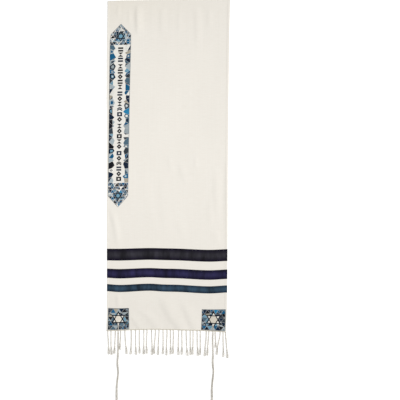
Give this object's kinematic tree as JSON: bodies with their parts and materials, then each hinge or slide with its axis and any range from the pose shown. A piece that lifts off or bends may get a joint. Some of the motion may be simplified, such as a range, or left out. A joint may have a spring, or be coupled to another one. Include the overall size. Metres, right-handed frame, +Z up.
{
  "type": "tallit prayer shawl",
  "caption": "Cream woven prayer shawl folded crosswise and laid flat, with dark bands, an embroidered neckband, corner patches, twisted fringe and knotted corner tassels.",
  "frame": {"origin": "centre of the footprint, on the surface that the shawl lies on", "axes": "+Z up out of the front of the cloth, +Y along the shawl towards its fold, +X across it to the right with the neckband on the left"},
  "size_m": [0.5646, 1.852, 0.008],
  "materials": {
    "cloth": "cream raw silk, plain weave with slubs",
    "band_charcoal": "charcoal satin band",
    "band_violet": "violet navy satin band",
    "band_teal": "teal blue satin band",
    "neckband": "dense embroidery in blues and silver grey on cream",
    "corner_patch": "dense embroidery in blues and silver grey",
    "fringe": "twisted cream silk cord with loose ends",
    "tassel": "knotted and wound off-white wool cord"
  },
  "bodies": {
    "root": {"shawl_cloth": "cloth", "band_charcoal": "band_charcoal", "band_violet": "band_violet", "band_teal": "band_teal", "neckband": "neckband", "corner_patch_left": "corner_patch", "corner_patch_right": "corner_patch", "hem_fringe": "fringe", "tassel_left": "tassel", "tassel_right": "tassel"}
  },
  "joints": []
}
